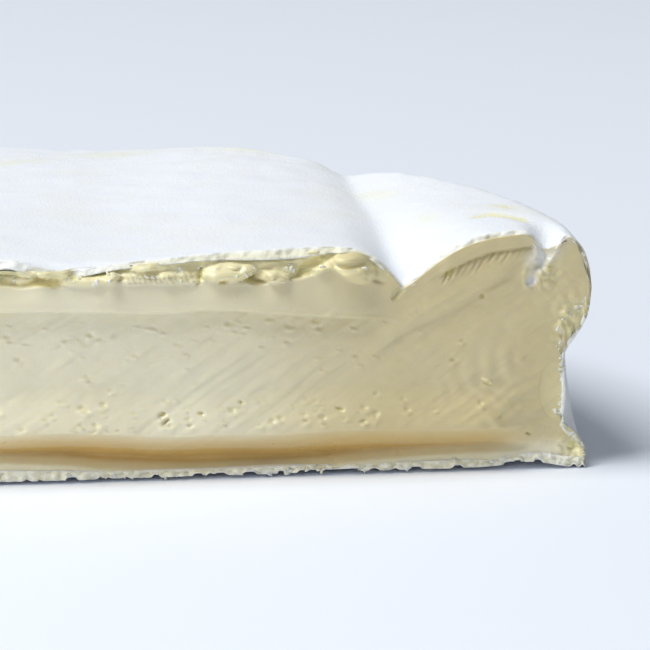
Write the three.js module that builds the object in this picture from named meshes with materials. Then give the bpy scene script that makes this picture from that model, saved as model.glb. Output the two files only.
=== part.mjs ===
// A quarter wheel of ripe double cream brie, resting on its flat base: one soft solid with its rind.
// The wedge's tip is at the wheel's centre. One cut face looks along -Y and the other along -X, and the
// round rind side joins their far ends. Millimetres, +Z up.

import * as THREE from 'three';
import { mergeVertices } from 'three/addons/utils/BufferGeometryUtils.js';

// Wheel
const WHEEL_RADIUS = 165;
const SLAB_HEIGHT = 40.2; // top rind over the flat middle of the wheel
const ORIGIN_SHIFT = 82.1; // from the wheel's centre to the middle of the wedge's box, along X and along Y

// Top rind
const SWELL = 0.7; // slow unevenness of the top
const SWELL_WAVES = { along: 21, back: 26, slant: 47 }; // millimetres for each radian of its waves
const SWELL_PHASES = { along: 0.9, back: -0.5 };
const BANK_RISE = 1.8; // the slab swells up towards the fold
const BANK_FROM = 70;
const BANK_TO = 108;
const BACK_RISE = 1.6; // and the swollen side climbs this much more towards the far rim
const TIP_SLUMP = 2.4; // the thin tip sags
const TIP_REACH = 26;
const SHOULDER_WIDTH = 6.5; // how far in from the rim the top begins to round over
const SHOULDER_DROP = 10; // and how far it has fallen at the rim

// Deep fold in the top rind: it starts in the front cut and runs back to the rim
const FOLD_START = 130.5; // from the wheel's centre, at the front cut
const FOLD_DRIFT = 0.05; // how far it leans towards the tip for each millimetre back
const FOLD_DEPTH = 8; // at the front cut
const FOLD_FAR_SHARE = 0.3; // share of that depth that is left at the rim
const FOLD_RUN = 45; // it grows shallow over this length
const FOLD_SLAB_SIDE = 4.5; // width of the steep flank
const FOLD_LOBE_SIDE = 8.5; // width of the gentle flank
const FOLD_SHARPNESS = 1.4;
const LOBE_RISE = 2.4; // the rim lobe stands this much over the swollen slab

// Short nick between the rim lobe and the outer lip, at the front cut
const NICK_INSET = 7.6; // from the rim
const NICK_DEPTH = 5;
const NICK_WIDTH = 2.2;
const NICK_RUN = 7;

// Base: flat, with the wedge's three corners sunk a little lower as feet. The rind curls up beside the foot at
// the end of the front cut
const BASE_LIFT = 0.7;
const FOOT_REACH = 24; // how far from its corner a foot begins
const CURL_HEIGHT = 1.2;
const CURL_PLACE = 155;
const CURL_WIDTH = 6;
const CURL_RUN = 6;

// Section through the wedge, from the base up. height is on the flat slab, and cut is how far the paste
// stands out of (or behind) the plane of the knife there. rim is how far the round side stands out of the
// wheel's radius, and corner is the same where the round side meets a cut: pinched in over a foot. upper
// marks the levels of the cream band and the torn edge, which end at the fold.
const SECTION = [
  { height: 0.0, cut: 0.0, rim: -0.8, corner: -0.6 },
  { height: 1.9, cut: 0.5, rim: -0.2, corner: -0.4 },
  { height: 3.4, cut: -2.0, rim: -0.3, corner: -0.4 },
  { height: 5.6, cut: -2.6, rim: -0.6, corner: -0.9 },
  { height: 8.0, cut: 0.5, rim: -1.0, corner: -3.6 },
  { height: 9.8, cut: 1.5, rim: -1.2, corner: -5.0 },
  { height: 13.0, cut: 0.5, rim: -1.7, corner: -4.3 },
  { height: 18.5, cut: 0.0, rim: -2.4, corner: -4.1 },
  { height: 25.0, cut: -0.1, rim: -2.8, corner: -4.8 },
  { height: 30.2, cut: -0.2, rim: -1.8, corner: -1.5, upper: true },
  { height: 30.9, cut: 1.0, rim: -1.5, corner: -1.1, upper: true },
  { height: 33.4, cut: 0.8, rim: -0.4, corner: -0.1, upper: true },
  { height: 36.0, cut: 0.3, rim: 0.3, corner: 0.3, upper: true },
  { height: 37.5, cut: -1.8, rim: 0.5, corner: 0.5, upper: true, torn: true },
  { height: 38.9, cut: 0.3, rim: 0.6, corner: 0.6, upper: true, torn: true },
  { height: SLAB_HEIGHT, cut: 0.0, rim: 0.6, corner: 0.6, torn: true },
];
const CORNER_RUN = 11; // the pinched corner opens out over this length behind a cut
const RIM_BLEND = 12; // how far in from the rim its shape is felt
const RIM_WAVE = 0.9; // slow waves of the round side, which die out at the cuts
const RIM_WAVES = [
  { turns: 5, phase: 2.2, share: 1 },
  { turns: 13, phase: 0.4, share: 0.5 },
];
const UPPER_END = 132; // the cream band and the torn edge fade out here, from the wheel's centre
const LOWER_END = 158; // the hollow over the base rind fades out here
const FADE = 14; // length of both fades
const CRAG_LENGTH = 6.5; // typical length of a crag along the torn edge
const CRAG_DEPTH = 1.1;
const CRAG_STAGGER = 3; // how far the crags shift along the edge for each millimetre up
const FRONT_CRAGS = 0; // the two cuts take their crags from different stretches of one uneven run
const SIDE_CRAGS = 330;

// Grid of the solid
const PLAN_STEPS = 38;
const RIM_CROWDING = 0.35; // share by which the grid closes up towards the rim

const { smoothstep, lerp } = THREE.MathUtils;

// A smooth hump of height 1
function hump(at, middle, width) {
  return Math.exp(-(((at - middle) / width) ** 2));
}

// The same number from 0 to 1 each time for a whole number
function draw(whole) {
  const wave = Math.sin(whole * 12.9898 + 4.1) * 43758.5453;
  return wave - Math.floor(wave);
}

// Uneven run of crags along a cut edge, from -1 to 1
function crags(along) {
  const place = along / CRAG_LENGTH;
  const first = Math.floor(place);
  return 2 * lerp(draw(first), draw(first + 1), place - first) - 1;
}

// Place in the quarter disc of a point of the unit square: two sides stay straight, and two become the rim
function inWedge(u, v) {
  const x = WHEEL_RADIUS * u * Math.sqrt(1 - (v * v) / 2);
  const y = WHEEL_RADIUS * v * Math.sqrt(1 - (u * u) / 2);
  return { x, y };
}

// Grid lines lie closer together towards the rim
function crowd(share) {
  return lerp(share, 1 - (1 - share) ** 2, RIM_CROWDING);
}

// Height of the fold's flanks over the slab: a steep one on the slab's side, a gentle one up to the rim lobe
function foldHeight(x, y) {
  const across = x - (FOLD_START - FOLD_DRIFT * y);
  const depth = FOLD_DEPTH * lerp(1, FOLD_FAR_SHARE, smoothstep(y, 0, FOLD_RUN));
  if (across < 0) {
    return -depth * Math.exp(-((-across / FOLD_SLAB_SIDE) ** FOLD_SHARPNESS));
  }
  return LOBE_RISE - (LOBE_RISE + depth) * Math.exp(-((across / FOLD_LOBE_SIDE) ** FOLD_SHARPNESS));
}

function shoulderDrop(inward) {
  const share = Math.max(0, 1 - inward / SHOULDER_WIDTH);
  return SHOULDER_DROP * (1 - Math.sqrt(1 - share * share));
}

function topHeight(x, y) {
  const fromTip = Math.hypot(x, y);
  const inward = Math.max(0, WHEEL_RADIUS - fromTip);
  const along = Math.sin(x / SWELL_WAVES.along + SWELL_PHASES.along);
  const back = Math.cos(y / SWELL_WAVES.back + SWELL_PHASES.back);
  const swell = SWELL * (along * back + Math.sin((x + 2 * y) / SWELL_WAVES.slant));
  const bank = smoothstep(x, BANK_FROM, BANK_TO) * (BANK_RISE + (BACK_RISE * y) / WHEEL_RADIUS);
  const nick = NICK_DEPTH * hump(inward, NICK_INSET, NICK_WIDTH) * hump(y, 0, NICK_RUN);
  const slump = TIP_SLUMP * hump(fromTip, 0, TIP_REACH);
  return SLAB_HEIGHT + swell + bank + foldHeight(x, y) - nick - slump - shoulderDrop(inward);
}

function baseHeight(x, y) {
  const fromTip = Math.hypot(x, y);
  const fromFrontFoot = Math.hypot(x - WHEEL_RADIUS, y);
  const fromFarFoot = Math.hypot(x, y - WHEEL_RADIUS);
  const lift = BASE_LIFT * smoothstep(Math.min(fromTip, fromFrontFoot, fromFarFoot), 0, FOOT_REACH);
  return lift + CURL_HEIGHT * hump(x, CURL_PLACE, CURL_WIDTH) * hump(y, 0, CURL_RUN);
}

// How far the paste of a cut face stands out of the knife's plane, at a distance from the tip
function cutRelief(level, along, cragStart) {
  const end = level.upper ? UPPER_END : LOWER_END;
  const shown = 1 - smoothstep(along, end - FADE, end);
  const torn = level.torn ? CRAG_DEPTH * crags(along + cragStart + CRAG_STAGGER * level.height) : 0;
  return (level.cut + torn) * shown;
}

// How far the round side stands out of the wheel's radius
function rimRelief(level, x, y) {
  const angle = Math.atan2(y, x);
  const side = lerp(level.corner, level.rim, smoothstep(Math.min(x, y), 0, CORNER_RUN));
  let wave = 0;
  for (const { turns, phase, share } of RIM_WAVES) {
    wave += share * Math.sin(turns * angle + phase);
  }
  return side + RIM_WAVE * wave * Math.sin(2 * angle);
}

// Moves one corner of the unit box to its place on the cheese
function place(corner, u, v, levelIndex) {
  const level = SECTION[levelIndex];
  const { x, y } = inWedge(crowd(u), crowd(v));
  const base = baseHeight(x, y);
  const height = base + (topHeight(x, y) - base) * (level.height / SLAB_HEIGHT);

  const fromTip = Math.hypot(x, y);
  const rim = rimRelief(level, x, y) * hump(WHEEL_RADIUS - fromTip, 0, RIM_BLEND);
  const stretch = fromTip > 0 ? 1 + rim / fromTip : 1;
  const front = v === 0 ? cutRelief(level, x, FRONT_CRAGS) : 0;
  const side = u === 0 ? cutRelief(level, y, SIDE_CRAGS) : 0;
  corner.set(x * stretch - side, y * stretch - front, height);
}

// The wedge: a box of grid cells whose corners are each moved to their place
function wedgeGeometry() {
  const levels = SECTION.length - 1;
  const box = new THREE.BoxGeometry(1, 1, 1, PLAN_STEPS, PLAN_STEPS, levels);
  box.deleteAttribute('normal');
  box.deleteAttribute('uv');
  const wedge = mergeVertices(box);
  const position = wedge.getAttribute('position');
  const corner = new THREE.Vector3();
  for (let i = 0; i < position.count; i += 1) {
    corner.fromBufferAttribute(position, i).addScalar(0.5);
    const u = Math.round(corner.x * PLAN_STEPS) / PLAN_STEPS;
    const v = Math.round(corner.y * PLAN_STEPS) / PLAN_STEPS;
    place(corner, u, v, Math.round(corner.z * levels));
    position.setXYZ(i, corner.x, corner.y, corner.z);
  }
  wedge.computeVertexNormals();
  return wedge;
}

const paste = new THREE.MeshStandardMaterial({ color: 0xe9e2c4, roughness: 0.55, metalness: 0 });
const cheese = new THREE.Mesh(wedgeGeometry(), paste);
cheese.name = 'brie_wedge';
cheese.position.set(-ORIGIN_SHIFT, -ORIGIN_SHIFT, 0);

const brie = new THREE.Group();
brie.add(cheese);

export default brie;
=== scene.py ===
import itertools
import math

import bpy
import numpy as np
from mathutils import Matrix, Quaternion, Vector


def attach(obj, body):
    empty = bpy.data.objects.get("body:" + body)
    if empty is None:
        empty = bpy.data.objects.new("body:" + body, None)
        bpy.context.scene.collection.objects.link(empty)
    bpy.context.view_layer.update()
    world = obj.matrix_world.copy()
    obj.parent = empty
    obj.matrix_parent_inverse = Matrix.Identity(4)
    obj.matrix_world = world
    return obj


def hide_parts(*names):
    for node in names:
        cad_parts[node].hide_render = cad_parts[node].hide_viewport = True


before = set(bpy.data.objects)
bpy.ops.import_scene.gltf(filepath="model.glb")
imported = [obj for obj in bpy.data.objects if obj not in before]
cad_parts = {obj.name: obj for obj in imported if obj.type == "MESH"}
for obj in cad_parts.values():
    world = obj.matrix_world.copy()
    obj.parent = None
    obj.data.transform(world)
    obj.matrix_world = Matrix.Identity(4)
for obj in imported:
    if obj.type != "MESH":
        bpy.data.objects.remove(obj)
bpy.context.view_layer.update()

# Paste
# The inside of a quarter wheel of ripe double cream brie: soft curd that ripens from the rind inwards.
# It is one body, cut on two sides. The knife dragged its faces into a cream band with a ledge, a roll over
# a hollow, and a torn edge under the rind.
MM = 0.001
TINY = 1e-6
WHEEL_RADIUS = 165.0
SLAB_HEIGHT = 40.2
ORIGIN_SHIFT = 82.1  # from the wheel's centre to the middle of the part, along X and along Y
RIM_CROWDING = 0.35
PASTE_CELLS = (36, 36, 14)
CUT_SPLITS = 5
FRONT_SPLITS = 1
RIND_TOP = 2.3  # thickest rind
RIND_SIDE = 0.29  # share of that on the round side
RIND_BED = 0.5  # share of its thickness that the rind sinks into the paste
RIND_HOLLOW = 2.0  # behind the cuts the paste stays this much further inside its rind
HOLLOW_RUN = 4
INSET_LOSS = 0.8  # near the outer lip the paste comes out almost to the rind's face
INSET_ENDS = (28, 34)
HIDDEN_RIPE = 0.5  # paste that no cut shows
RIND_AT_FRONT = ((0, 0.5), (58, 0.68), (66, 0.7), (76, 0.48), (86, 0.4), (95, 0.5), (102, 0.7), (111, 0.83),
                 (118, 0.5), (125, 0.42), (131.3, 0.3), (137, 0.58), (145, 0.6), (153, 0.5), (157.4, 0.29),
                 (161, 0.29), (165, 0.29))
RIND_AT_BASE = ((0, 0.7), (57, 0.9), (75, 0.62), (93, 0.5), (120, 0.6), (150, 0.66), (165, 0.8))

SWELL = 0.7
SWELL_WAVES = (21, 26, 47)
SWELL_PHASES = (0.9, -0.5)
BANK_RISE = 1.8
BANK_ENDS = (70, 108)
BACK_RISE = 1.6
TIP_SLUMP = 2.4
TIP_REACH = 26
SHOULDER_WIDTH = 6.5
SHOULDER_DROP = 10
FOLD_START = 131.3
FOLD_DRIFT = 0.05
FOLD_DEPTH = 7.6
FOLD_FAR_SHARE = 0.3
FOLD_RUN = 45
FOLD_SLAB_SIDE = 4.5
FOLD_LOBE_SIDE = 8.5
FOLD_SHARPNESS = 1.4
LOBE_RISE = 2.4
NICK_INSET = 7.6
NICK_DEPTH = 5
NICK_WIDTH = 2.2
NICK_RUN = 7
BASE_LIFT = 0.7
FOOT_REACH = 24
CURL_HEIGHT = 1.2
CURL_PLACE = 155
CURL_WIDTH = 6
CURL_RUN = 6

# Round side against height: how far it stands out of the wheel's radius, and the same beside a cut
SIDE_HEIGHTS = (0, 1.9, 3.4, 5.6, 8, 9.8, 13, 18.5, 25, 30.2, 33.4, 36, 38.9, 40.2)
SIDE_OUT = (-0.8, -0.2, -0.3, -0.6, -1.0, -1.2, -1.7, -2.4, -2.8, -1.8, -0.4, 0.3, 0.6, 0.6)
CORNER_OUT = (-0.6, -0.4, -0.4, -0.9, -3.6, -5.0, -4.3, -4.1, -4.8, -1.5, -0.1, 0.3, 0.6, 0.6)
SIDE_SOFTNESS = (-1.2, -0.6, 0, 0.6, 1.2)
CORNER_RUN = 11
RIM_BLEND = 12
RIM_WAVE = 0.9
RIM_WAVES = ((5, 2.2, 1), (13, 0.4, 0.5))

# Cut face against height, from the knife's plane: base lip, hollow, roll and plain face
LIP_OUT = 0.25
HOLLOW_OUT = -3.5
ROLL_OUT = 3.1
ROLL_SPREAD = 8.5  # the roll swells out of the face over this height
HOLLOW_DROP = 5.4  # from the roll's nose to the deepest place of the hollow
HOLLOW_FLOOR = ((57, 5.3), (68, 4.4), (75, 3.5), (93, 2.5), (110, 2.6), (117, 3.0), (125, 3.9), (134, 4.3),
                (143, 4.6), (165, 4.5))
ROLL_NOSE = ((0, 10.4), (57, 10.2), (94, 9.2), (110, 8.9), (118, 9.2), (125, 9.2), (134, 8.8), (143, 8.6),
             (165, 8.2))
LEDGE_HEIGHT = ((0, 31.4), (58, 32.5), (72, 31.7), (101, 31.7), (118, 29.8), (127, 29.2), (134, 28.2))
TORN_FROM = ((0, 37.0), (58, 37.3), (64, 36.7), (80, 37.0), (94, 37.2), (103, 36.3), (111, 37.0), (118, 38.2),
             (127, 35.5))
BAND_OUT = 1.3
UPPER_END = 132
LOWER_END = 158
FADE = 14
TORN_DEPTH = 1.7
# Torn flakes: length, height and how far they stand out
FLAKES = ((8.5, 2.2, 1.1), (4.2, 1.4, 0.8), (1.9, 0.8, 0.35))
STREAK_ANGLE = math.radians(33)

# Single crags and hollows of the front cut: place along it, height, half sizes, tilt in degrees, how far they
# stand out, and how much lemon tint they get: the curd's own yellow on raised ones, painted warm light in
# hollow ones
CRAGS = (
    (99.6, 38.5, 5.2, 1.9, 3, 2.6, 0.25), (107.3, 37.5, 3.4, 1.3, -5, 2.0, 0.3),
    (78.4, 38.1, 1.4, 1.2, 25, 2.3, 0.2), (94.3, 37.8, 0.6, 1.6, -12, -1.2, 1),
    (98.7, 36.8, 1.1, 0.4, 8, -1.3, 1), (103.5, 37.1, 0.9, 0.5, 35, -1.3, 1),
    (114.0, 38.9, 3.9, 1.1, 27, -1.4, 0.9), (122.5, 38.6, 4.2, 2.6, -28, 1.6, 0.35),
    (130.2, 33.7, 1.7, 0.5, 47, -0.9, 1), (139.8, 37.4, 1.6, 0.6, 42, -0.6, 0.8),
    (145.7, 32.8, 0.4, 0.4, 0, -0.8, 0.8), (76.2, 38.8, 2.3, 0.7, 18, -1.0, 1),
    (67.5, 37.9, 5.4, 1.0, 8, -0.7, 0.8), (72.6, 38.3, 1.7, 0.5, 10, -0.9, 1),
    (59.5, 38.9, 2.4, 0.5, 0, -0.9, 0.8), (64.9, 38.5, 0.8, 0.6, 0, -0.9, 0.8),
    (158.6, 14.7, 2.7, 5.4, 0, -0.3, 0.3), (146.3, 17.1, 1.0, 0.4, -8, 0.6, 0.05),
    (146.4, 16.5, 0.9, 0.25, -8, -0.5, 1), (153.9, 6.8, 0.5, 0.35, 0, -0.7, 1),
    (86.9, 12.8, 0.62, 0.45, 10, -0.9, 0.9), (87.6, 11.6, 0.8, 0.4, 35, -0.8, 0.9),
    (93.9, 12.7, 0.5, 0.4, 0, -0.7, 0.9), (101.2, 14.3, 0.45, 0.35, -20, -0.7, 0.9),
    (119.3, 12.8, 0.75, 0.35, -12, -0.8, 0.9), (162.6, 4.3, 1.6, 1.3, 10, -1.0, 0.9),
    (164.0, 2.6, 1.1, 0.8, 0, 0.6, 0.4),
)
TEETH = (80, 95, 36.6, 38.5)  # a combed strip of the torn edge: from, to, lowest, highest
TEETH_PITCH = 0.95
CREASE = ((137.5, 36.4), (143, 39.3), (147.4, 40.8), (153, 41.6), (157, 42.3))  # comb marks hang from it
CREASE_DEPTH = 2.6
SMEAR = ((122, 19.8), (133.2, 27.4), (142.4, 31.4), (148.8, 35.6), (154, 39.8))  # a smeared fold of the paste
SMEAR_OUT = 0.4
TUCK = ((158.0, 45.0), (157.4, 41.0), (156.1, 38.6), (154.2, 34.9))  # rind pushed into the nick
TUCK_WIDTH = 0.9
# Knife drags: where each starts along the cut, its height there and its length
DRAGS = ((97.5, 11.8, 32), (102.5, 11.2, 30), (90, 15, 24), (108, 12.5, 24), (66, 20, 16))
DRAG_OUT = 0.13
SWIRL = (153.5, 21.0)
SWIRL_PITCH = 3.1
# Rows of pinholes: lowest and highest, how many and how open
PINHOLE_ROWS = ((24.3, 30.2, 75, 0.15), (10.2, 15.5, 120, 0.5), (16.5, 24.0, 25, 0.2))
PINHOLE_SIZES = (0.18, 0.48)
RIPER_AND_SHADED = 0.8  # the front cut is darker towards the rim: partly riper paste, partly painted shade for light that falls off from the left
RIPER_AND_SHADED_ENDS = (88, 132)
RIM_RIPER_AND_SHADED = 0.2
RIM_RIPER_AND_SHADED_ENDS = (150, 163)
RIPER_AND_SHADED_RISE = (3.5, 7)
TEETH_SEED = 54
COMB_SEED = 51
COMB_FADE_SEED = 52
DRAG_SEED = 53
FRONT_SEED = 3
SIDE_SEED = 11


def smooth(at, start, end):
    share = np.clip((at - start) / (end - start), 0, 1)
    return share * share * (3 - 2 * share)


def hump(at, middle, width):
    return np.exp(-((at - middle) / width) ** 2)


def along_line(at, points):
    places, values = zip(*points)
    return np.interp(at, places, values)


def draw(cell, seed):
    """The same number from 0 to 1 each time for a whole-numbered cell."""
    turns = np.array((12.9898, 78.233, 37.719))[:cell.shape[-1]]
    wave = np.sin(cell @ turns + seed * 7.31) * 43758.5453
    return wave - np.floor(wave)


def uneven(place, grain, seed):
    """Smooth unevenness from -1 to 1, with swells of the given size along each axis."""
    spot = place / np.asarray(grain, dtype=float)
    first = np.floor(spot)
    part = spot - first
    part = part * part * (3 - 2 * part)
    total = 0
    for corner in itertools.product((0, 1), repeat=place.shape[-1]):
        weight = np.prod(np.where(corner, part, 1 - part), axis=-1)
        total = total + weight * draw(first + corner, seed)
    return 2 * total - 1


def lumps(place, grain, seed):
    """Scattered lumps: distance to the nearest middle, and a number of the lump's own."""
    spot = place / np.asarray(grain, dtype=float)
    home = np.floor(spot)
    near = np.full(len(spot), 9.0)
    own = np.zeros(len(spot))
    for step in itertools.product((-1, 0, 1), repeat=2):
        cell = home + step
        middle = cell + np.stack([draw(cell, seed), draw(cell, seed + 1)], axis=-1)
        gap = np.linalg.norm(middle - spot, axis=-1)
        own = np.where(gap < near, draw(cell, seed + 2), own)
        near = np.minimum(near, gap)
    return near, own


def line_distance(along, height, points):
    """Distance to a line through a few points."""
    best = np.full(along.shape, 1e3)
    for (x0, z0), (x1, z1) in itertools.pairwise(points):
        run = np.array((x1 - x0, z1 - z0))
        share = np.clip(((along - x0) * run[0] + (height - z0) * run[1]) / (run @ run), 0, 1)
        best = np.minimum(best, np.hypot(along - x0 - share * run[0], height - z0 - share * run[1]))
    return best


def in_wedge(u, v):
    """Place in the quarter disc of a point of the unit square."""
    u = u + RIM_CROWDING * (1 - (1 - u) ** 2 - u)
    v = v + RIM_CROWDING * (1 - (1 - v) ** 2 - v)
    return WHEEL_RADIUS * u * np.sqrt(1 - v * v / 2), WHEEL_RADIUS * v * np.sqrt(1 - u * u / 2)


def fold_height(x, y):
    across = x - (FOLD_START - FOLD_DRIFT * y)
    depth = FOLD_DEPTH * (1 + (FOLD_FAR_SHARE - 1) * smooth(y, 0, FOLD_RUN))
    slab_side = -depth * np.exp(-(np.maximum(-across, 0) / FOLD_SLAB_SIDE) ** FOLD_SHARPNESS)
    lobe_side = np.exp(-(np.maximum(across, 0) / FOLD_LOBE_SIDE) ** FOLD_SHARPNESS)
    return np.where(across < 0, slab_side, LOBE_RISE - (LOBE_RISE + depth) * lobe_side)


def top_height(x, y):
    from_tip = np.hypot(x, y)
    inward = np.maximum(0, WHEEL_RADIUS - from_tip)
    along = np.sin(x / SWELL_WAVES[0] + SWELL_PHASES[0])
    back = np.cos(y / SWELL_WAVES[1] + SWELL_PHASES[1])
    swell = SWELL * (along * back + np.sin((x + 2 * y) / SWELL_WAVES[2]))
    bank = smooth(x, *BANK_ENDS) * (BANK_RISE + BACK_RISE * y / WHEEL_RADIUS)
    nick = NICK_DEPTH * hump(inward, NICK_INSET, NICK_WIDTH) * hump(y, 0, NICK_RUN)
    slump = TIP_SLUMP * hump(from_tip, 0, TIP_REACH)
    share = np.maximum(0, 1 - inward / SHOULDER_WIDTH)
    shoulder = SHOULDER_DROP * (1 - np.sqrt(1 - share * share))
    return SLAB_HEIGHT + swell + bank + fold_height(x, y) - nick - slump - shoulder


def base_height(x, y):
    from_tip = np.hypot(x, y)
    from_feet = np.minimum(np.hypot(x - WHEEL_RADIUS, y), np.hypot(x, y - WHEEL_RADIUS))
    lift = BASE_LIFT * smooth(np.minimum(from_tip, from_feet), 0, FOOT_REACH)
    return lift + CURL_HEIGHT * hump(x, CURL_PLACE, CURL_WIDTH) * hump(y, 0, CURL_RUN)


def side_stretch(x, y, level):
    """How much the round side's bulges and waves stretch the plan at a height on the slab."""
    side = np.mean([np.interp(level + step, SIDE_HEIGHTS, SIDE_OUT) for step in SIDE_SOFTNESS], axis=0)
    corner = np.mean([np.interp(level + step, SIDE_HEIGHTS, CORNER_OUT) for step in SIDE_SOFTNESS], axis=0)
    angle = np.arctan2(y, x)
    wave = sum(share * np.sin(turns * angle + phase) for turns, phase, share in RIM_WAVES)
    out = corner + (side - corner) * smooth(np.minimum(x, y), 0, CORNER_RUN)
    return out + RIM_WAVE * wave * np.sin(2 * angle)


def stretched(x, y, out):
    """Plan moved outwards near the rim."""
    from_tip = np.maximum(np.hypot(x, y), TINY)
    share = 1 + out * hump(WHEEL_RADIUS - from_tip, 0, RIM_BLEND) / from_tip
    return x * share, y * share


def rind_share(along, front):
    """Thickness of the rind at a cut, as a share of the thickest."""
    place = np.stack([along, np.zeros_like(along)], axis=-1)
    plain = 0.55 + 0.2 * uneven(place, (9, 1), SIDE_SEED)
    return np.where(front, along_line(along, RIND_AT_FRONT), plain)


def plain_cut(along, height, under, seed):
    """The roll, the hollow, the ledge and the torn edge that both cuts have: how far out, how ripe, and the
    painted shade of the hollow.
    """
    place = np.stack([along, height], axis=-1)
    slow = np.stack([along, np.zeros_like(along)], axis=-1)
    drift = 0.5 * uneven(slow, (17, 1), seed) + 0.22 * uneven(slow, (5, 1), seed + 1)
    upper = 1 - smooth(along, UPPER_END - FADE, UPPER_END)
    lower = 1 - smooth(along, LOWER_END - FADE, LOWER_END)

    nose = along_line(along, ROLL_NOSE) + 0.7 * drift
    floor = along_line(along, HOLLOW_FLOOR) + 0.25 * drift
    roll = ROLL_OUT * (1 + 0.2 * drift) * (1 - smooth(height, nose, nose + ROLL_SPREAD))
    tucked_under = np.clip((nose - height) / HOLLOW_DROP, 0, 1)
    hollow = roll + (HOLLOW_OUT - roll) * tucked_under ** 0.9
    lip = 1 - smooth(height, floor - 1.3, floor + 0.5)
    low = np.where(height > nose, roll, hollow)
    low = low + (LIP_OUT - low) * lip
    out = low * lower

    ledge = along_line(along, LEDGE_HEIGHT) + 0.55 * drift
    torn_from = along_line(along, TORN_FROM) + 0.5 * uneven(slow, (3.1, 1), seed + 2)
    band = smooth(height, ledge - 0.16, ledge + 0.16)
    fullness = BAND_OUT * (1 - 0.7 * smooth(height, ledge + 0.8, torn_from))
    fullness += 0.2 * hump(height, ledge + 0.35, 0.35)
    out += upper * band * fullness
    out -= 0.35 * upper * (1 - band) * smooth(height, ledge - 5, ledge)

    torn = smooth(height, torn_from - 0.25, torn_from + 0.35) * upper
    flake = -TORN_DEPTH
    for number, (length, rise, stand) in enumerate(FLAKES):
        sheet = uneven(place + 0.6 * drift[:, None], (length, rise), seed + 30 + number)
        flake = flake + stand * (smooth(sheet, -0.12, 0.12) + 0.5 * sheet)
    out += torn * flake

    ripe = 0.12 + 0.12 * uneven(place, (24, 9), seed + 4) + 0.25 * np.exp(-under / 3.5)
    ripe += 0.4 * lip * lower
    # Painted shade: the hollow under the roll, from its floor up to near the roll's nose, is painted darker
    # and warmer for its shadow.
    painted_shade = lower * smooth(height, floor - 0.5, floor + 0.4)
    painted_shade *= 1 - 0.3 * smooth(height, nose - 3.9, nose - 3.3)
    painted_shade *= 1 - smooth(height, nose - 3.2, nose + 1.1)
    return out, ripe, torn, painted_shade


def knife_marks(along, height, seed):
    """Shallow drags of the knife, rising along the face, and the slow waves of a soft cut."""
    place = np.stack([along, height], axis=-1)
    run = along * math.cos(STREAK_ANGLE) + height * math.sin(STREAK_ANGLE)
    across = height * math.cos(STREAK_ANGLE) - along * math.sin(STREAK_ANGLE)
    drag = np.stack([run, across], axis=-1)
    waves = 0.3 * uneven(place, (15, 10), seed + 5) + 0.11 * uneven(place, (5, 3.6), seed + 6)
    bent = drag + 0.5 * np.stack([np.zeros_like(run), uneven(place, (9, 6), seed + 15)], axis=-1)
    fine = uneven(bent, (11, 0.9), seed + 7) * smooth(uneven(place, (30, 16), seed + 8), -0.5, 0.5)
    scrape = smooth(uneven(bent, (4.5, 1.0), seed + 14), 0.4, 0.75) * hump(height, 27, 3)
    scrape *= 1 - smooth(along, 90, 125)
    dimples = 0.05 * uneven(place, (1.7, 1.2), seed + 16) + 0.05 * uneven(bent, (3.5, 0.5), seed + 9)
    plain = 1 - 0.85 * smooth(height, 30.5, 32.5) * (1 - smooth(along, 118, 134))
    return waves + plain * (0.09 * fine + dimples) - 0.25 * scrape


def pinholes(along, height, seed):
    """Small gas holes in rows: how deep, and how far inside one a point is."""
    dice = np.random.default_rng(seed)
    out = np.zeros_like(along)
    inside = np.zeros_like(along)
    for low, high, count, openness in PINHOLE_ROWS:
        for _ in range(count):
            middle = dice.uniform(4, 150) if dice.random() < 0.15 else dice.uniform(4, 132)
            level = dice.uniform(low, high)
            size = dice.uniform(*PINHOLE_SIZES) * dice.choice((0.7, 1, 1.3))
            lean = dice.uniform(-0.3, 0.3)
            side = (along - middle + lean * (height - level)) / size
            rise = (height - level) / (0.85 * size)
            hole = np.exp(-(side ** 2 + rise ** 2) ** 1.5)
            brim = np.exp(-(side / 1.3) ** 2 - ((rise + 1.5) / 0.8) ** 2)
            out += 0.3 * brim - (0.45 + 0.5 * openness) * size * hole
            # how far inside a hole a point is; the hole's inside gets painted warm light
            inside = np.maximum(inside, openness * hole)
    return out, inside


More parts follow.
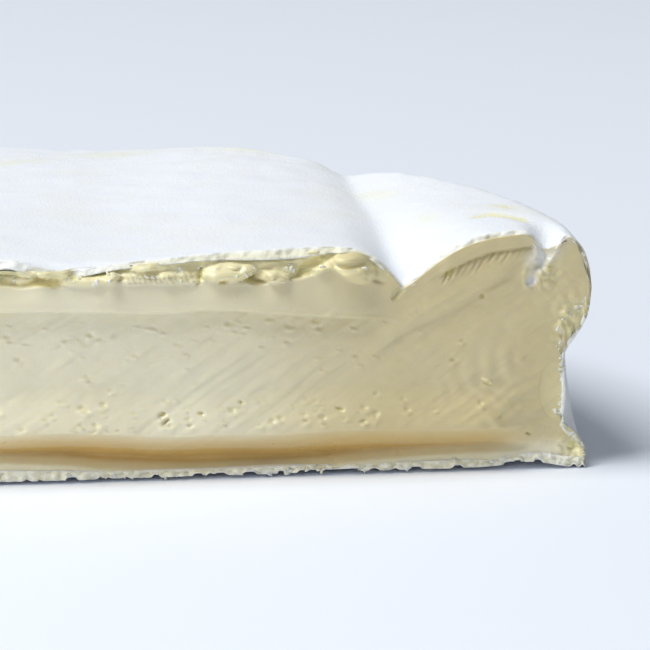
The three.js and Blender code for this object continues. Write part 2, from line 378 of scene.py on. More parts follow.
def front_marks(along, height):
    """The marks of the front cut alone: crags, comb marks, the smeared fold, drags and the tucked rind."""
    out = np.zeros_like(along)
    ripe = np.zeros_like(along)
    lemon_and_glow = np.zeros_like(along)
    for middle, level, half_run, half_rise, tilt, stand, tone in CRAGS:
        turn = math.radians(tilt)
        run = ((along - middle) * math.cos(turn) + (height - level) * math.sin(turn)) / half_run
        rise = ((height - level) * math.cos(turn) - (along - middle) * math.sin(turn)) / half_rise
        cap = np.clip(1 - run ** 2 - rise ** 2, 0, 1) ** 0.6
        out += stand * cap
        # lemon tint: the curd's own yellow on raised crags, painted warm light in hollow ones
        lemon_and_glow = np.maximum(lemon_and_glow, tone * smooth(cap, 0, 0.4))

    start, end, low, high = TEETH
    strip = smooth(along, start, start + 1.5) * (1 - smooth(along, end - 1, end))
    strip *= smooth(height, low - 0.2, low + 0.4) * (1 - smooth(height, high - 0.3, high + 0.5))
    comb = np.sin(2 * math.pi * (along + 0.45 * height) / TEETH_PITCH)
    out += strip * (0.5 + 0.28 * comb)
    # painted warm light in the comb's grooves
    lemon_and_glow += 0.3 * strip * (0.5 - 0.5 * comb)

    crease = along_line(along, CREASE)
    drop = crease - height
    reach = smooth(along, CREASE[0][0], CREASE[0][0] + 2)
    reach *= 1 - smooth(along, CREASE[-1][0] - 3, CREASE[-1][0])
    place = np.stack([along, height], axis=-1)
    length = CREASE_DEPTH * (1.0 + 0.4 * uneven(place, (1.7, 50), TEETH_SEED))
    hang = smooth(drop, 0, 0.3) * (1 - smooth(drop, 0.5, length))
    teeth = along * 0.85 - 0.5 * height + 0.5 * uneven(place, (3, 9), COMB_SEED)
    comb = np.sin(2 * math.pi * teeth / TEETH_PITCH)
    comb *= 0.6 + 0.6 * uneven(place, (2.1, 4), COMB_FADE_SEED)
    combed = 0.4 * hang * comb - 0.5 * hump(drop, 0.15, 0.35) - 0.25 * hang + 0.3 * smooth(-drop, 0, 0.6)
    out += reach * combed
    ripe += 0.3 * reach * hump(drop, 0.2, 0.6)

    over = height - along_line(along, SMEAR)
    reach = smooth(along, SMEAR[0][0], SMEAR[0][0] + 8) * (1 - smooth(along, SMEAR[-1][0] - 5, SMEAR[-1][0]))
    out += reach * SMEAR_OUT * smooth(over, -0.3, 0.3) * (1 - smooth(over, 1.5, 6))

    for start, level, length in DRAGS:
        run = (along - start) * math.cos(STREAK_ANGLE) + (height - level) * math.sin(STREAK_ANGLE)
        across = (height - level) * math.cos(STREAK_ANGLE) - (along - start) * math.sin(STREAK_ANGLE)
        across = across + 0.3 * np.sin(run / 4) + 0.5 * uneven(place, (4, 4), DRAG_SEED)
        reach = smooth(run, 0, 4) * (1 - smooth(run, length - 8, length))
        out += DRAG_OUT * reach * (smooth(across, -0.15, 0.15) * (1 - smooth(across, 0.4, 2.4)))

    ring = np.hypot(along - SWIRL[0], height - SWIRL[1])
    ring = ring + 1.4 * uneven(place, (5, 4), FRONT_SEED + 20)
    fade = hump(along, 150, 8) * hump(height, 14, 8)
    out += 0.16 * fade * np.sin(2 * math.pi * ring / SWIRL_PITCH)

    tuck = line_distance(along, height, TUCK)
    tuck = tuck + 0.5 * uneven(place, (1.6, 1.6), FRONT_SEED + 23)
    width = TUCK_WIDTH * (0.4 + 0.6 * smooth(height, 34.5, 38.5))
    out += -0.6 * hump(tuck, 0, width) + 0.25 * hump(tuck, 1.8 * width, 0.5 * width)
    white = hump(tuck, 0, (1.2 + 1.3 * smooth(height, 37.5, 40)) * width)
    white *= 0.85 + 0.4 * uneven(place, (1.4, 1.4), FRONT_SEED + 21)

    near, own = lumps(place, (1.7, 1.3), FRONT_SEED + 22)
    crumbly = smooth(along, 157, 161) * hump(height, 27.5, 4.5)
    crumbly += 0.8 * smooth(along, 158.5, 161) * hump(height, 3, 3.4)
    crumbly += 0.6 * hump(along, 157, 3) * hump(height, 37, 3.5)
    out += crumbly * (np.clip(1 - near, 0, 1) * (0.4 + 1.4 * own) - 0.6)
    # Painted shade: the front cut darkens towards the rim, partly as riper paste and partly as painted shade
    # for light falling off from the left.
    riper_and_shaded = RIPER_AND_SHADED * smooth(along, *RIPER_AND_SHADED_ENDS) + RIM_RIPER_AND_SHADED * smooth(along, *RIM_RIPER_AND_SHADED_ENDS)
    ripe += riper_and_shaded * smooth(height, *RIPER_AND_SHADED_RISE)
    lemon_and_glow += 0.6 * np.clip(crumbly, 0, 1)
    return out, ripe, np.clip(white, 0, 1), lemon_and_glow


def cut_face(along, height, top, seed, front):
    under = top - height
    out, ripe, torn, painted_shade = plain_cut(along, height, under, seed)
    face = 1 - 0.7 * torn
    holes, inside = pinholes(along, height, seed)
    out += face * (knife_marks(along, height, seed) + holes)
    white = np.zeros_like(along)
    # the torn curd's own yellow, and painted warm light inside the pinholes
    lemon_and_glow = np.maximum(0.55 * torn, inside)
    if front:
        more_out, more_ripe_and_shade, white, more_lemon_and_glow = front_marks(along, height)
        lemon_and_glow = np.maximum(lemon_and_glow, more_lemon_and_glow)
        out += more_out
        ripe += more_ripe_and_shade
    return out, np.clip(ripe, 0, 1), white, painted_shade, np.clip(lemon_and_glow, 0, 1)


def grid_box(name, cells):
    """A box from 0 to 1 each way, split into cells."""
    bpy.ops.object.select_all(action="DESELECT")
    bpy.ops.mesh.primitive_cube_add(size=1, location=(0.5, 0.5, 0.5))
    box = bpy.context.object
    box.name = name
    box.data.name = name
    bpy.ops.object.transform_apply(location=True, rotation=False, scale=False)
    for axis, count in enumerate(cells):
        ends = corners(box)[edge_ends(box)]
        runs = np.abs(ends[:, 0] - ends[:, 1]).argmax(axis=1) == axis
        choose(box, "EDGE", runs)
        bpy.ops.mesh.subdivide(number_cuts=count - 1)
        bpy.ops.object.mode_set(mode="OBJECT")
    return box


def corners(piece):
    places = np.empty(len(piece.data.vertices) * 3)
    piece.data.vertices.foreach_get("co", places)
    return places.reshape(-1, 3)


def edge_ends(piece):
    ends = np.empty(len(piece.data.edges) * 2, dtype=np.int32)
    piece.data.edges.foreach_get("vertices", ends)
    return ends.reshape(-1, 2)


def face_middles(piece):
    middles = np.empty(len(piece.data.polygons) * 3)
    piece.data.polygons.foreach_get("center", middles)
    return middles.reshape(-1, 3)


def choose(piece, kind, chosen):
    """Leaves the piece in edit mode with the chosen edges or faces selected."""
    bpy.context.view_layer.objects.active = piece
    bpy.ops.object.mode_set(mode="EDIT")
    bpy.ops.mesh.select_mode(type=kind)
    bpy.ops.mesh.select_all(action="DESELECT")
    bpy.ops.object.mode_set(mode="OBJECT")
    group = piece.data.edges if kind == "EDGE" else piece.data.polygons
    group.foreach_set("select", np.asarray(chosen, dtype=bool))
    bpy.ops.object.mode_set(mode="EDIT")


def move_corners(piece, x, y, z):
    """Puts every corner at its place, given in millimetres from the wheel's centre."""
    places = np.stack([x - ORIGIN_SHIFT, y - ORIGIN_SHIFT, z], axis=-1) * MM
    piece.data.vertices.foreach_set("co", places.ravel())
    piece.data.update()


def mark(piece, name, values):
    """Keeps a number for each corner, for the piece's material."""
    layer = piece.data.attributes.new(name, "FLOAT", "POINT")
    layer.data.foreach_set("value", np.asarray(values, dtype=np.float32))


def node(tree, kind, place, **values):
    made = tree.nodes.new(kind)
    made.location = place
    for name, value in values.items():
        setattr(made, name, value)
    return made


def grain_group():
    """Soft blotches and fine grain in one, with a height for the bump."""
    group = bpy.data.node_groups.new("curd_grain", "ShaderNodeTree")
    face = group.interface
    for name, value in (("Blotch scale", 60.0), ("Grain scale", 1800.0), ("Grain share", 0.5)):
        socket = face.new_socket(name, in_out="INPUT", socket_type="NodeSocketFloat")
        socket.default_value = value
    face.new_socket("Blotch", in_out="OUTPUT", socket_type="NodeSocketFloat")
    face.new_socket("Height", in_out="OUTPUT", socket_type="NodeSocketFloat")
    enter = node(group, "NodeGroupInput", (-700, 0))
    leave = node(group, "NodeGroupOutput", (400, 0))
    place = node(group, "ShaderNodeTexCoord", (-700, 300))
    blotch = node(group, "ShaderNodeTexNoise", (-400, 250))
    blotch.inputs["Detail"].default_value = 4
    grain = node(group, "ShaderNodeTexNoise", (-400, -100))
    grain.inputs["Detail"].default_value = 3
    mix = node(group, "ShaderNodeMix", (100, 0), data_type="FLOAT")
    link = group.links.new
    link(place.outputs["Object"], blotch.inputs["Vector"])
    link(place.outputs["Object"], grain.inputs["Vector"])
    link(enter.outputs["Blotch scale"], blotch.inputs["Scale"])
    link(enter.outputs["Grain scale"], grain.inputs["Scale"])
    link(enter.outputs["Grain share"], mix.inputs["Factor"])
    link(blotch.outputs["Fac"], mix.inputs["A"])
    link(grain.outputs["Fac"], mix.inputs["B"])
    link(blotch.outputs["Fac"], leave.inputs["Blotch"])
    link(mix.outputs["Result"], leave.inputs["Height"])
    return group


GRAIN = grain_group()
FRESH_PASTE = (0.88, 0.82, 0.615, 1)
# ripe paste, dark enough that it also paints the shade on the rim side of the front cut
RIPE_AND_SHADED_PASTE = (0.71, 0.60, 0.335, 1)
PAINTED_SHADE_PASTE = (0.74, 0.51, 0.19, 1)  # painted shade and a painted warm reflection: the hollow under the roll is darker and warmer for its shadow and bounced light
LEMON_AND_GLOW_PASTE = (0.92, 0.83, 0.46, 1)  # torn curd's own yellow, and painted warm light inside holes, hollow crags and comb grooves
TUCKED_RIND = (0.92, 0.92, 0.92, 1)


def tint(tree, place, base, over):
    """A node that lays one colour over another by its factor."""
    made = node(tree, "ShaderNodeMix", place, data_type="RGBA")
    for name, colour in (("A", base), ("B", over)):
        if colour:
            made.inputs[name].default_value = colour
    return made


def paste_material():
    made = bpy.data.materials.new("cream_paste")
    made.use_nodes = True
    tree = made.node_tree
    link = tree.links.new
    shader = tree.nodes["Principled BSDF"]
    shader.inputs["Subsurface Weight"].default_value = 0.3
    shader.inputs["Subsurface Radius"].default_value = (1.0, 0.75, 0.35)
    shader.inputs["Subsurface Scale"].default_value = 0.0009
    shader.inputs["Specular IOR Level"].default_value = 0.5
    grain = node(tree, "ShaderNodeGroup", (-900, -200), node_tree=GRAIN)
    grain.inputs["Blotch scale"].default_value = 90
    grain.inputs["Grain scale"].default_value = 2200
    grain.inputs["Grain share"].default_value = 0.35
    ripe = node(tree, "ShaderNodeAttribute", (-1100, 300), attribute_name="ripe")
    white = node(tree, "ShaderNodeAttribute", (-700, 500), attribute_name="tucked")
    sway = node(tree, "ShaderNodeMath", (-700, 100), operation="MULTIPLY_ADD")
    sway.inputs[1].default_value = 0.22
    riper_and_shaded = node(tree, "ShaderNodeMath", (-500, 200), operation="ADD", use_clamp=True)
    riper_and_shaded.inputs[1].default_value = -0.11
    painted_shade_attribute = node(tree, "ShaderNodeAttribute", (-700, 700), attribute_name="painted_hollow_shade")
    # lemon tint: torn curd's own yellow, and painted warm light in holes and hollows
    torn = node(tree, "ShaderNodeAttribute", (-700, 900), attribute_name="lemon_and_glow")
    colour = tint(tree, (-300, 250), FRESH_PASTE, RIPE_AND_SHADED_PASTE)
    lemon_and_glow_tint = tint(tree, (-250, 500), None, LEMON_AND_GLOW_PASTE)
    # painted shade of the hollow, laid over the paste's colour
    painted_shade_tint = tint(tree, (-200, 400), None, PAINTED_SHADE_PASTE)
    rind = tint(tree, (-100, 300), None, TUCKED_RIND)
    gloss = node(tree, "ShaderNodeMapRange", (-300, -50))
    gloss.inputs["To Min"].default_value = 0.2
    gloss.inputs["To Max"].default_value = 0.42
    bump = node(tree, "ShaderNodeBump", (-300, -350))
    bump.inputs["Strength"].default_value = 0.35
    bump.inputs["Distance"].default_value = 0.0003
    link(grain.outputs["Blotch"], sway.inputs[0])
    link(ripe.outputs["Fac"], sway.inputs[2])
    link(sway.outputs[0], riper_and_shaded.inputs[0])
    link(riper_and_shaded.outputs[0], colour.inputs["Factor"])
    link(white.outputs["Fac"], rind.inputs["Factor"])
    link(colour.outputs["Result"], lemon_and_glow_tint.inputs["A"])
    link(torn.outputs["Fac"], lemon_and_glow_tint.inputs["Factor"])
    link(lemon_and_glow_tint.outputs["Result"], painted_shade_tint.inputs["A"])
    link(painted_shade_attribute.outputs["Fac"], painted_shade_tint.inputs["Factor"])
    link(painted_shade_tint.outputs["Result"], rind.inputs["A"])
    link(rind.outputs["Result"], shader.inputs["Base Color"])
    link(grain.outputs["Blotch"], gloss.inputs["Value"])
    link(gloss.outputs["Result"], shader.inputs["Roughness"])
    link(grain.outputs["Height"], bump.inputs["Height"])
    link(bump.outputs["Normal"], shader.inputs["Normal"])
    return made


paste = grid_box("paste", PASTE_CELLS)
places = face_middles(paste)
choose(paste, "FACE", (places[:, 0] < TINY) | (places[:, 1] < TINY))
bpy.ops.mesh.subdivide(number_cuts=CUT_SPLITS)
bpy.ops.object.mode_set(mode="OBJECT")
choose(paste, "FACE", face_middles(paste)[:, 1] < TINY)
bpy.ops.mesh.subdivide(number_cuts=FRONT_SPLITS)
bpy.ops.object.mode_set(mode="OBJECT")

u, v, w = corners(paste).T
x, y = in_wedge(u, v)
top = top_height(x, y)
base = base_height(x, y)
inside = RIND_HOLLOW * smooth(np.minimum(x, y), 0, HOLLOW_RUN)
bed = RIND_BED * RIND_TOP * rind_share(x + y, y < x) + inside
foot = RIND_BED * RIND_TOP * along_line(x + y, RIND_AT_BASE) + inside
level = w * SLAB_HEIGHT
z = base + foot + (top - base - foot - bed) * w
inset = RIND_BED * RIND_TOP * RIND_SIDE * (1 - INSET_LOSS * smooth(level, *INSET_ENDS))
x, y = stretched(x, y, side_stretch(x, y, level) - inset - inside)
ripe = np.full_like(x, HIDDEN_RIPE)
tucked = np.zeros_like(x)
painted_hollow_shade = np.zeros_like(x)
lemon_and_glow = np.zeros_like(x)
on_front = v < TINY
on_side = u < TINY
front_out, ripe[on_front], tucked[on_front], painted_hollow_shade[on_front], lemon_and_glow[on_front] = cut_face(
    x[on_front], z[on_front], top[on_front], FRONT_SEED, True)
side_out, ripe[on_side], _, painted_hollow_shade[on_side], lemon_and_glow[on_side] = cut_face(
    y[on_side], z[on_side], top[on_side], SIDE_SEED, False)
y[on_front] -= front_out
x[on_side] -= side_out
move_corners(paste, x, y, z)
# ripeness, with painted shade towards the rim on the front cut
mark(paste, "ripe", ripe)
mark(paste, "tucked", tucked)
# painted shade of the hollow under the roll
mark(paste, "painted_hollow_shade", painted_hollow_shade)
mark(paste, "lemon_and_glow", lemon_and_glow)
paste.data.materials.append(paste_material())
bpy.ops.object.shade_smooth()
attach(paste, "root")
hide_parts("brie_wedge")

# Rind
# The white mould coat that grows on the outside of the wheel: a thin felted skin over the top, the round side
# and the base. The knife has cut through it, and its edge hangs ragged over the torn paste.
RIND_CELLS = (33, 33, 7)
RIND_SPLITS = 2
EDGE_SPLITS = 3
EDGE_STRIP = 2.2 / (RIND_CELLS[0] * (RIND_SPLITS + 1))  # the last rows at a cut, which are split again
EDGE_FADE = 2.0  # how far in from a cut its ragged edge is felt
NEAR_TOP = 0.999  # share of the height from which a corner belongs to the top
EDGE_ROWS = 5
# How far the cut rind slopes back, along the front cut
EDGE_SLOPE = ((0, 0.6), (58, 0.8), (78, 0.7), (90, 0.9), (118, 1.0), (131, 0.6), (137, 1.0), (153, 1.0),
              (158, 0.5), (165, 0.3))
BASE_SLOPE = 0.7  # and how far the base rind's edge stands forward under the paste
FELT_LUMP = 0.3  # height of the felt's soft lumps
RAGGED = 0.42  # how far the cut edge of the rind wanders
WHITE_RIND = (0.92, 0.94, 0.975, 1)
STAINED_RIND = (0.90, 0.85, 0.50, 1)
CUT_RIND = (0.95, 0.94, 0.88, 1)
CREAM_RIND = (0.90, 0.86, 0.66, 1)
FLAP = (60, 3.4, 1.2)  # a lifted flap of rind at the front cut: place, half width, height
DROOP = (71, 6, 0.9)  # and a stretch that droops over the torn paste
EDGE_CREAM = ((0, 0.5), (58, 0.05), (76, 0.2), (86, 0.8), (118, 1.0), (129, 0.4), (134, 0.15), (165, 0.2))
# Yellow crack over the rim lobe
CRACK = ((147.0, 20.5), (149.5, 21.5), (152.0, 18.0), (154.0, 14.5), (155.0, 11.0))
CRACK_WIDTH = 1.1
CRACK_DEPTH = 0.5
NOTCH_DEPTH = 0.9  # notches of the base rind's edge
BASE_BEVEL = 0.6  # share by which the base rind's edge leans back inside
FLAP_RUN = 2.5
DROOP_RUN = 3
FELT_SEEDS = (31, 32)
RAGGED_SEEDS = (33, 34)
CRUMBLE_SEEDS = (41, 42)
LUMP_SEED = 43
NOTCH_SEEDS = (44, 45)
STAINS = (  # yellow stains on the top: place from the wheel's centre, half sizes, turn, strength
    (152.8, 28.0, 3.4, 1.4, -58, 0.7), (54.8, 129.6, 9, 4, 10, 0.3),
    (75.1, 134, 10, 4, -20, 0.3), (107.1, 118, 9, 5, -35, 0.35),
    (132, 67, 9, 3, -70, 0.35), (138, 30, 8, 2, -80, 0.3),
)


def rind_material(name, white, stained):
    made = bpy.data.materials.new(name)
    made.use_nodes = True
    tree = made.node_tree
    link = tree.links.new
    shader = tree.nodes["Principled BSDF"]
    shader.inputs["Roughness"].default_value = 0.9
    shader.inputs["Specular IOR Level"].default_value = 0.2
    shader.inputs["Sheen Weight"].default_value = 0.15
    shader.inputs["Subsurface Weight"].default_value = 0.2
    shader.inputs["Subsurface Radius"].default_value = (1.0, 0.9, 0.7)
    shader.inputs["Subsurface Scale"].default_value = 0.001
    grain = node(tree, "ShaderNodeGroup", (-900, -200), node_tree=GRAIN)
    grain.inputs["Blotch scale"].default_value = 45
    grain.inputs["Grain scale"].default_value = 1500
    grain.inputs["Grain share"].default_value = 0.7
    stain = node(tree, "ShaderNodeAttribute", (-900, 200), attribute_name="stain")
    sway = node(tree, "ShaderNodeMapRange", (-600, 0))
    sway.inputs["From Min"].default_value = 0.5
    sway.inputs["From Max"].default_value = 0.85
    sway.inputs["To Max"].default_value = 0.3
    total = node(tree, "ShaderNodeMath", (-400, 150), operation="ADD", use_clamp=True)
    colour = tint(tree, (-200, 200), white, stained)
    bump = node(tree, "ShaderNodeBump", (-300, -350))
    bump.inputs["Strength"].default_value = 0.45
    bump.inputs["Distance"].default_value = 0.0006
    link(grain.outputs["Blotch"], sway.inputs["Value"])
    link(stain.outputs["Fac"], total.inputs[0])
    link(sway.outputs["Result"], total.inputs[1])
    link(total.outputs[0], colour.inputs["Factor"])
    link(colour.outputs["Result"], shader.inputs["Base Color"])
    link(grain.outputs["Height"], bump.inputs["Height"])
    link(bump.outputs["Normal"], shader.inputs["Normal"])
    return made


def stains(x, y):
    total = np.zeros_like(x)
    for middle_x, middle_y, half_run, half_width, turn, strength in STAINS:
        angle = math.radians(turn)
        run = ((x - middle_x) * math.cos(angle) + (y - middle_y) * math.sin(angle)) / half_run
        side = ((y - middle_y) * math.cos(angle) - (x - middle_x) * math.sin(angle)) / half_width
        total = np.maximum(total, strength * np.exp(-run ** 2 - side ** 2))
    return total


def group_weights(piece, name):
    """How strongly each corner belongs to a vertex group."""
    number = piece.vertex_groups[name].index
    weights = np.zeros(len(piece.data.vertices))
    for corner in piece.data.vertices:
        for member in corner.groups:
            if member.group == number:
                weights[corner.index] = member.weight
    return weights


rind = grid_box("rind", RIND_CELLS)
places = face_middles(rind)
choose(rind, "FACE", (places[:, 0] < TINY) | (places[:, 1] < TINY))
bpy.ops.mesh.delete(type="FACE")
bpy.ops.mesh.select_all(action="SELECT")
bpy.ops.mesh.subdivide(number_cuts=RIND_SPLITS)
bpy.ops.object.mode_set(mode="OBJECT")
places = face_middles(rind)
choose(rind, "FACE", (places[:, 0] < EDGE_STRIP) | (places[:, 1] < EDGE_STRIP))
bpy.ops.mesh.subdivide(number_cuts=EDGE_SPLITS)
bpy.ops.object.mode_set(mode="OBJECT")

u, v, w = corners(rind).T
x, y = in_wedge(u, v)
level = w * SLAB_HEIGHT
top = top_height(x, y) + FLAP[2] * hump(x, FLAP[0], FLAP[1]) * hump(y, 0, FLAP_RUN)
top -= DROOP[2] * hump(x, DROOP[0], DROOP[1]) * hump(y, 0, DROOP_RUN)
base = base_height(x, y)
z = base + (top - base) * w
felt = np.stack([x, y, z], axis=-1)
felted = 0.6 * uneven(felt, (7, 7, 7), FELT_SEEDS[0]) + 0.4 * uneven(felt, (2.4, 2.4, 2.4), FELT_SEEDS[1])
lump = FELT_LUMP * felted
z = z + lump * (w > NEAR_TOP) * smooth(np.minimum(x, y), -1, 2)
share = np.where(w < TINY, along_line(np.maximum(x, y), RIND_AT_BASE), rind_share(np.maximum(x, y), y < x))
share = np.where((np.hypot(x, y) > WHEEL_RADIUS - 1) & (w > TINY) & (w < NEAR_TOP), RIND_SIDE, share)
along = np.stack([np.maximum(x, y), z], axis=-1)
torn = 0.6 * uneven(along, (4.5, 2), RAGGED_SEEDS[0]) + 0.4 * uneven(along, (1.1, 1.1), RAGGED_SEEDS[1])
ragged = RAGGED * torn
x, y = stretched(x, y, side_stretch(x, y, level) + lump)
near_front = np.exp(-y / EDGE_FADE) * (v < EDGE_STRIP * 1.2)
near_side = np.exp(-x / EDGE_FADE) * (u < EDGE_STRIP * 1.2)
slope = np.where(y < x, along_line(x, EDGE_SLOPE), EDGE_SLOPE[0][1])
slope = np.where(w > NEAR_TOP, slope, np.where(w < TINY, -BASE_SLOPE, 0))
x = x + (np.maximum(slope, 0) - ragged) * near_side
y = y + (np.maximum(slope, 0) - ragged) * near_front
crack = hump(line_distance(x, y, CRACK), 0, CRACK_WIDTH) * (w > NEAR_TOP)
z = z - CRACK_DEPTH * crack
stain = np.maximum(np.where(w > NEAR_TOP, stains(x, y), 0), smooth(crack, 0.2, 0.8))
move_corners(rind, x, y, z)
mark(rind, "stain", stain)
mark(rind, "slope", slope)
thickness = rind.vertex_groups.new(name="thickness")
for index, amount in enumerate(share):
    thickness.add([index], float(amount), "REPLACE")
rind.data.materials.append(rind_material("white_rind", WHITE_RIND, STAINED_RIND))
rind.data.materials.append(rind_material("cut_rind", CUT_RIND, CREAM_RIND))
wall = rind.modifiers.new("wall", "SOLIDIFY")
wall.thickness = RIND_TOP * MM
wall.offset = -1
wall.vertex_group = "thickness"
wall.material_offset_rim = 1
rind.vertex_groups.new(name="inner")
wall.shell_vertex_group = "inner"
bpy.ops.object.modifier_apply(modifier="wall")

cut_faces = np.empty(len(rind.data.polygons), dtype=np.int32)
rind.data.polygons.foreach_get("material_index", cut_faces)
choose(rind, "FACE", cut_faces == 1)
bpy.ops.mesh.select_mode(type="EDGE")
bpy.ops.mesh.region_to_loop()
bpy.ops.object.mode_set(mode="OBJECT")
borders = np.empty(len(rind.data.edges), dtype=bool)
rind.data.edges.foreach_get("select", borders)
on_edge = np.zeros(len(rind.data.vertices), dtype=bool)
on_edge[edge_ends(rind)[borders]] = True
across = on_edge[edge_ends(rind)].all(axis=1) & ~borders
choose(rind, "EDGE", across)
bpy.ops.mesh.subdivide(number_cuts=EDGE_ROWS)
bpy.ops.object.mode_set(mode="OBJECT")
new_corners = np.arange(len(rind.data.vertices)) >= len(on_edge)
depth = group_weights(rind, "inner")
slope = np.empty(len(rind.data.vertices), dtype=np.float32)
rind.data.attributes["slope"].data.foreach_get("value", slope)
x, y, z = (corners(rind) / MM + (ORIGIN_SHIFT, ORIGIN_SHIFT, 0)).T
front = y < x
inward = np.where(front, y, x)
edge = np.stack([np.maximum(x, y), z], axis=-1)
near, own = lumps(edge, (1.5, 1.0), LUMP_SEED)
crumble = 0.3 * uneven(edge, (1.5, 0.8), CRUMBLE_SEEDS[0]) + 0.2 * uneven(edge, (0.7, 0.5), CRUMBLE_SEEDS[1])
crevice = smooth(near, 0.35, 0.75)
crumble = np.where(z < 5, 1.1 * np.clip(1 - near, 0, 1) * (0.3 + own) - 0.5, crumble)
past_slope = np.maximum(inward - np.maximum(slope, 0), 0)
shift = -depth * slope * np.exp(-past_slope / EDGE_FADE) - new_corners * crumble
base_shift = -BASE_SLOPE * (1 - BASE_BEVEL * depth) * np.exp(-np.maximum(inward, 0) / EDGE_FADE)
shift = np.where(slope < 0, base_shift - new_corners * crumble, shift)
stain = np.empty(len(rind.data.vertices), dtype=np.float32)
rind.data.attributes["stain"].data.foreach_get("value", stain)
stain = np.where(new_corners & (z > 10), along_line(edge[:, 0], EDGE_CREAM) * smooth(depth, 0, 0.4), stain)
stain = np.where(new_corners & (z < 10), 0.6 + 0.9 * crevice * (0.4 + 0.6 * own), stain)
rind.data.attributes["stain"].data.foreach_set("value", stain.astype(np.float32))
edge_run = edge * (1, 0)
gaps = uneven(edge_run, (1.9, 1), NOTCH_SEEDS[0]) + 0.5 * uneven(edge_run, (0.8, 1), NOTCH_SEEDS[1])
notch = NOTCH_DEPTH * smooth(gaps, 0.0, 0.6)
notch *= (slope < 0) * np.exp(-np.maximum(inward + 0.3, 0) / 0.8)
move_corners(rind, np.where(front, x, x + shift), np.where(front, y + shift, y), z + notch * (1 - depth))
bpy.ops.object.shade_smooth()
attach(rind, "root")

# Crumbs
# Loose scraps of paste and rind that the knife left along the torn edges, the base rind and the rim corner.
# Each is a small flake of the same soft cheese, stuck where it fell.
CRUMB_SIZES = (0.14, 0.42)
CRUMB_FORM = (1.3, 0.5, 0.8)  # along the face, out of it and up
CRUMB_ROUGHNESS = 0.28
CRUMB_TRAILS = (  # on the front cut: line, spread along its normal, count, share of white ones
    (((57, 38.4), (66, 37.6), (80, 37.8), (95, 38.2), (112, 39.0), (124, 38.6)), 0.9, 50, 0.05),
    (((56, 1.7), (80, 1.2), (110, 1.2), (150, 1.8), (158, 2.2)), 0.4, 110, 0.3),
    (((165.4, 32), (162.6, 26.4), (160.4, 24.4), (160.2, 20)), 0.8, 28, 0.1),
    (((160.4, 20), (160.0, 12), (160.8, 7.5), (163.8, 4.5), (164.3, 1.6)), 0.6, 40, 0.3),
)
SIDE_TRAILS = (  # and the same on the second cut
    (((4, 37.5), (60, 38), (128, 38)), 0.9, 90, 0.05), (((4, 1.6), (158, 1.8)), 0.5, 120, 0.3),
    (((164, 32), (161.5, 25), (160, 12), (164, 4)), 0.9, 50, 0.2),
)
CRUMB_SEED = 5
CREAM_CRUMB = (0.91, 0.87, 0.68, 1)
WHITE_CRUMB = (0.93, 0.93, 0.92, 1)


def crumb_shape():
    """Corners and faces of one round lump of 24 faces."""
    bpy.ops.object.select_all(action="DESELECT")
    bpy.ops.mesh.primitive_cube_add(size=1.3)
    lump = bpy.context.object
    bpy.ops.object.mode_set(mode="EDIT")
    bpy.ops.mesh.subdivide(number_cuts=1, smoothness=1)
    bpy.ops.object.mode_set(mode="OBJECT")
    faces = np.array([face.vertices[:] for face in lump.data.polygons])
    places = corners(lump)
    bpy.data.objects.remove(lump)
    return places, faces


def trail_points(trail, dice):
    """Scattered places along a line, and how white each crumb there is."""
    line, spread, count, white_share = trail
    line = np.array(line, dtype=float)
    lengths = np.r_[0, np.cumsum(np.linalg.norm(np.diff(line, axis=0), axis=1))]
    at = dice.uniform(0, lengths[-1], count)
    along = np.interp(at, lengths, line[:, 0]) + dice.normal(0, 0.3, count)
    height = np.interp(at, lengths, line[:, 1]) + dice.normal(0, 0.6 * spread, count)
    level = height / top_height(along, 0 * along) * SLAB_HEIGHT
    edge = WHEEL_RADIUS - 0.2 + np.interp(level, SIDE_HEIGHTS, CORNER_OUT)
    along = np.minimum(along, edge - np.abs(dice.normal(0, 0.7, count)))
    return along, height, (dice.random(count) < white_share) * dice.uniform(0.6, 1, count)


def crumb_material():
    made = bpy.data.materials.new("crumb")
    made.use_nodes = True
    tree = made.node_tree
    link = tree.links.new
    shader = tree.nodes["Principled BSDF"]
    shader.inputs["Subsurface Weight"].default_value = 0.3
    shader.inputs["Subsurface Radius"].default_value = (1.0, 0.8, 0.5)
    shader.inputs["Subsurface Scale"].default_value = 0.0006
    grain = node(tree, "ShaderNodeGroup", (-900, -200), node_tree=GRAIN)
    grain.inputs["Blotch scale"].default_value = 400
    tone = node(tree, "ShaderNodeAttribute", (-600, 200), attribute_name="tone")
    colour = tint(tree, (-300, 200), CREAM_CRUMB, WHITE_CRUMB)
    gloss = node(tree, "ShaderNodeMapRange", (-300, -50))
    gloss.inputs["To Min"].default_value = 0.35
    gloss.inputs["To Max"].default_value = 0.75
    bump = node(tree, "ShaderNodeBump", (-300, -350))
    bump.inputs["Strength"].default_value = 0.5
    bump.inputs["Distance"].default_value = 0.0002
    link(tone.outputs["Fac"], colour.inputs["Factor"])
    link(colour.outputs["Result"], shader.inputs["Base Color"])
    link(grain.outputs["Blotch"], gloss.inputs["Value"])
    link(gloss.outputs["Result"], shader.inputs["Roughness"])
    link(grain.outputs["Height"], bump.inputs["Height"])
    link(bump.outputs["Normal"], shader.inputs["Normal"])
    return made


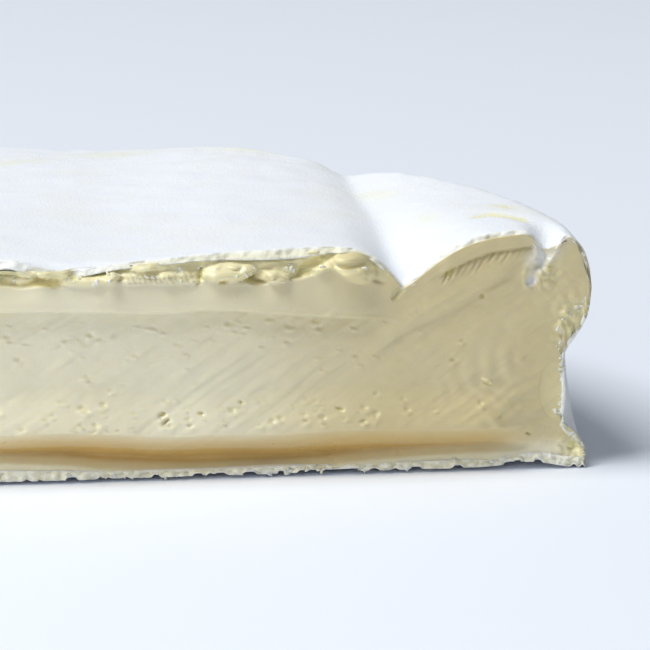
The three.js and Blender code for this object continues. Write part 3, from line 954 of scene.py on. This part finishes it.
dice = np.random.default_rng(CRUMB_SEED)
lump_corners, lump_faces = crumb_shape()
middles = []
tones = []
front_ones = []
for trail in CRUMB_TRAILS:
    along, height, white = trail_points(trail, dice)
    out = cut_face(along, height, top_height(along, 0 * along), FRONT_SEED, True)[0]
    middles.append(np.stack([along, -out, height], axis=-1))
    front_ones.extend([True] * len(along))
    tones.append(white)
for trail in SIDE_TRAILS:
    along, height, white = trail_points(trail, dice)
    out = cut_face(along, height, top_height(0 * along, along), SIDE_SEED, False)[0]
    middles.append(np.stack([-out, along, height], axis=-1))
    front_ones.extend([False] * len(along))
    tones.append(white)
middles = np.concatenate(middles)
tones = np.concatenate(tones)
total = len(middles)
sizes = dice.uniform(*CRUMB_SIZES, (total, 1)) * dice.uniform(0.7, 1.3, (total, 1))
dents = 1 + CRUMB_ROUGHNESS * dice.normal(size=(total, len(lump_corners), 1))
flakes = lump_corners * dents * CRUMB_FORM
turn = dice.uniform(0, math.tau, (total, 1))
run = sizes * (flakes[:, :, 0] * np.cos(turn) - flakes[:, :, 2] * np.sin(turn))
rise = sizes * (flakes[:, :, 0] * np.sin(turn) + flakes[:, :, 2] * np.cos(turn))
stand = sizes * flakes[:, :, 1]
in_front = np.array(front_ones)[:, None]
lean = np.stack([np.where(in_front, run, stand), np.where(in_front, stand, -run), rise], axis=-1)
places = lean + middles[:, None, :]
faces = lump_faces + len(lump_corners) * np.arange(total)[:, None, None]
crumb_mesh = bpy.data.meshes.new("crumbs")
crumb_mesh.from_pydata(np.zeros((total * len(lump_corners), 3)), [], faces.reshape(-1, 4).tolist())
crumbs = bpy.data.objects.new("crumbs", crumb_mesh)
bpy.context.collection.objects.link(crumbs)
move_corners(crumbs, *places.reshape(-1, 3).T)
mark(crumbs, "tone", np.repeat(tones, len(lump_corners)))
crumbs.data.materials.append(crumb_material())
crumbs.data.shade_smooth()
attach(crumbs, "root")

# Floor, light and view
# A plain pale floor under soft daylight from above and the left, with a weak light close by on the same side.
# It is seen from the photograph's angle.
FLOOR_SIZE = 8.0
FLOOR_ROUGHNESS = 0.9
FLOOR_COLOUR = (0.89, 0.92, 0.985, 1)
SKY_COLOUR = (0.90, 0.95, 1.0, 1)
SKY_STRENGTH = 0.22
LAMPS = (  # name, place, size, watts
    ("window_light", (-2.6, -0.6, 5.0), 3.2, 282.0),
    ("side_light", (-0.28, -0.26, 0.18), 0.3, 0.38),
)
LAMP_COLOUR = (0.95, 0.975, 1.0)
EYE = (0.0101, -0.5510, 0.1280)
TARGET = (0.0347, -0.0821, 0.0282)
LENS = 146.2
CLIP_START = 0.01
ROLL = math.radians(-1)

bpy.ops.object.select_all(action="DESELECT")
bpy.ops.mesh.primitive_grid_add(x_subdivisions=2, y_subdivisions=2, size=FLOOR_SIZE)
floor = bpy.context.object
floor.name = "floor"
paint = bpy.data.materials.new("pale_floor")
paint.use_nodes = True
paint.node_tree.nodes["Principled BSDF"].inputs["Base Color"].default_value = FLOOR_COLOUR
paint.node_tree.nodes["Principled BSDF"].inputs["Roughness"].default_value = FLOOR_ROUGHNESS
floor.data.materials.append(paint)

for name, spot, size, watts in LAMPS:
    bpy.ops.object.light_add(type="AREA", location=spot)
    lamp = bpy.context.object
    lamp.name = name
    lamp.data.size = size
    lamp.data.energy = watts
    lamp.data.color = LAMP_COLOUR
    lamp.visible_camera = False
    lamp.rotation_euler = (-lamp.location).to_track_quat("-Z", "Y").to_euler()

sky = bpy.data.worlds.new("sky")
sky.use_nodes = True
sky.node_tree.nodes["Background"].inputs["Color"].default_value = SKY_COLOUR
sky.node_tree.nodes["Background"].inputs["Strength"].default_value = SKY_STRENGTH
scene = bpy.context.scene
scene.world = sky
scene.view_settings.view_transform = "Standard"

bpy.ops.object.camera_add(location=EYE)
camera = bpy.context.object
camera.name = "camera"
camera.data.lens = LENS
camera.data.clip_start = CLIP_START
look = (Vector(TARGET) - Vector(EYE)).to_track_quat("-Z", "Y")
camera.rotation_euler = (look @ Quaternion((0, 0, 1), ROLL)).to_euler()
scene.camera = camera
